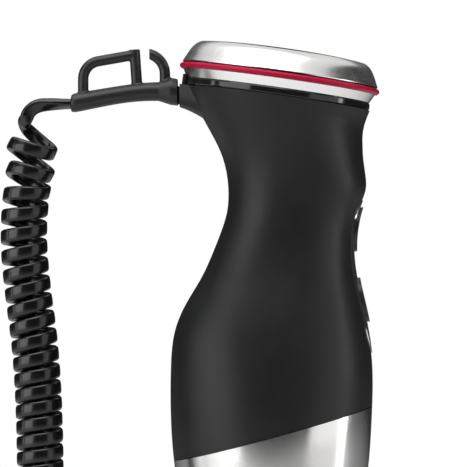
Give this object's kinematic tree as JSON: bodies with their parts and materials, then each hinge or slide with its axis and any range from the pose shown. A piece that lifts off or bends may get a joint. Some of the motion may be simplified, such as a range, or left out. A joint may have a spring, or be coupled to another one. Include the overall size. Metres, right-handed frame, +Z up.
{
  "type": "immersion blender",
  "caption": "Upright stick blender with a waisted soft grip, tilted speed dial, front switch panel, hooked cord sleeve, coiled cord and detachable steel foot.",
  "frame": {"origin": "centre of the bell's rim, on the surface that the blender stands on", "axes": "+Z up along the blade shaft, +X towards the switch panel, -X towards the cord outlet, +Y to the left of someone facing the way the switches face"},
  "size_m": [0.1484, 0.1168, 0.4015],
  "materials": {
    "soft_grip": "soft-touch matt",
    "brushed_steel": "brushed",
    "accent_red": "gloss",
    "gloss_black": "gloss",
    "black_plastic": "fine texture",
    "button_plastic": "satin",
    "inner_plastic": "moulded",
    "sleeve_rubber": "matt",
    "cord_black": "glossy",
    "pin_metal": "plated",
    "laminations": "varnished",
    "copper": "enamelled",
    "carbon": "pressed",
    "machined_steel": "ground",
    "circuit_board": "solder mask",
    "capacitor_case": "moulded",
    "aluminium_block": "extruded",
    "bronze": "sintered",
    "seal_rubber": "matt",
    "blade_steel": "ground"
  },
  "bodies": {
    "handle": {"grip_cover": "soft_grip", "lower_shell": "brushed_steel", "switch_panel": "brushed_steel", "housing_left": "inner_plastic", "housing_right": "inner_plastic", "housing_screws": "machined_steel", "neck_ring": "black_plastic", "ring_carrier": "inner_plastic", "trim_ring": "gloss_black", "collar_ring": "brushed_steel", "accent_ring": "accent_red", "potentiometer": "machined_steel", "power_spring": "machined_steel", "turbo_spring": "machined_steel", "button_guide": "inner_plastic", "control_board": "circuit_board", "micro_switches": "black_plastic", "suppression_capacitor": "capacitor_case", "heat_sink": "aluminium_block", "cord_clamp": "inner_plastic", "cord_sleeve": "sleeve_rubber", "plug_body": "cord_black", "plug_pins": "pin_metal", "motor_stator": "laminations", "field_coils": "copper", "upper_bracket": "inner_plastic", "lower_bracket": "aluminium_block", "bracket_screws": "machined_steel", "upper_bearing": "machined_steel", "lower_bearing": "machined_steel", "brush_holders": "bronze", "carbon_brushes": "carbon", "motor_mounts": "seal_rubber", "release_spring_left": "machined_steel", "release_spring_right": "machined_steel", "cord_lead": "cord_black", "cord_coil": "cord_black", "cord_tail": "cord_black"},
    "speed_dial": {"dial_cap": "brushed_steel", "dial_core": "inner_plastic", "potentiometer_shaft": "machined_steel"},
    "power_button": {"power_button": "button_plastic"},
    "turbo_button": {"turbo_button": "button_plastic"},
    "release_left": {"release_button_left": "button_plastic"},
    "release_right": {"release_button_right": "button_plastic"},
    "rotor": {"motor_shaft": "machined_steel", "armature": "laminations", "commutator": "copper", "cooling_fan": "inner_plastic", "drive_dog": "inner_plastic"},
    "foot": {"foot_tube": "brushed_steel", "foot_coupler": "black_plastic", "bell": "brushed_steel", "shaft_bushes": "bronze", "shaft_seal": "seal_rubber"},
    "blade_shaft": {"drive_shaft": "machined_steel", "shaft_socket": "inner_plastic", "blade": "blade_steel", "blade_nut": "machined_steel"}
  },
  "joints": [
    {"name": "dial_turn", "type": "hinge", "parent": "handle", "child": "speed_dial", "pos_m": [0.0017, 0, 0.3827], "axis": [0.1392, 0, 0.9903], "range_deg": [0, 270]},
    {"name": "power_press", "type": "slide", "parent": "handle", "child": "power_button", "axis": [-1, 0, 0], "range_m": [0, 0.002], "stiffness_N_per_m": 800, "springref_m": -0.002, "deforming": ["power_spring"]},
    {"name": "turbo_press", "type": "slide", "parent": "handle", "child": "turbo_button", "axis": [-1, 0, 0], "range_m": [0, 0.002], "stiffness_N_per_m": 800, "springref_m": -0.002, "deforming": ["turbo_spring"]},
    {"name": "release_left_press", "type": "slide", "parent": "handle", "child": "release_left", "axis": [0, -1, 0], "range_m": [0, 0.0015], "stiffness_N_per_m": 1500, "springref_m": -0.0015, "deforming": ["release_spring_left"]},
    {"name": "release_right_press", "type": "slide", "parent": "handle", "child": "release_right", "axis": [0, 1, 0], "range_m": [0, 0.0015], "stiffness_N_per_m": 1500, "springref_m": -0.0015, "deforming": ["release_spring_right"]},
    {"name": "rotor_spin", "type": "hinge", "parent": "handle", "child": "rotor", "pos_m": [0, 0, 0.255], "axis": [0, 0, 1], "continuous": true},
    {"name": "foot_release", "type": "slide", "parent": "handle", "child": "foot", "axis": [0, 0, -1], "range_m": [0, 0.045]},
    {"name": "blade_spin", "type": "hinge", "parent": "foot", "child": "blade_shaft", "pos_m": [0, 0, 0.1], "axis": [0, 0, 1], "continuous": true}
  ],
  "couplings": [
    {"joint": "blade_spin", "follows": "rotor_spin", "ratio": 1}
  ]
}
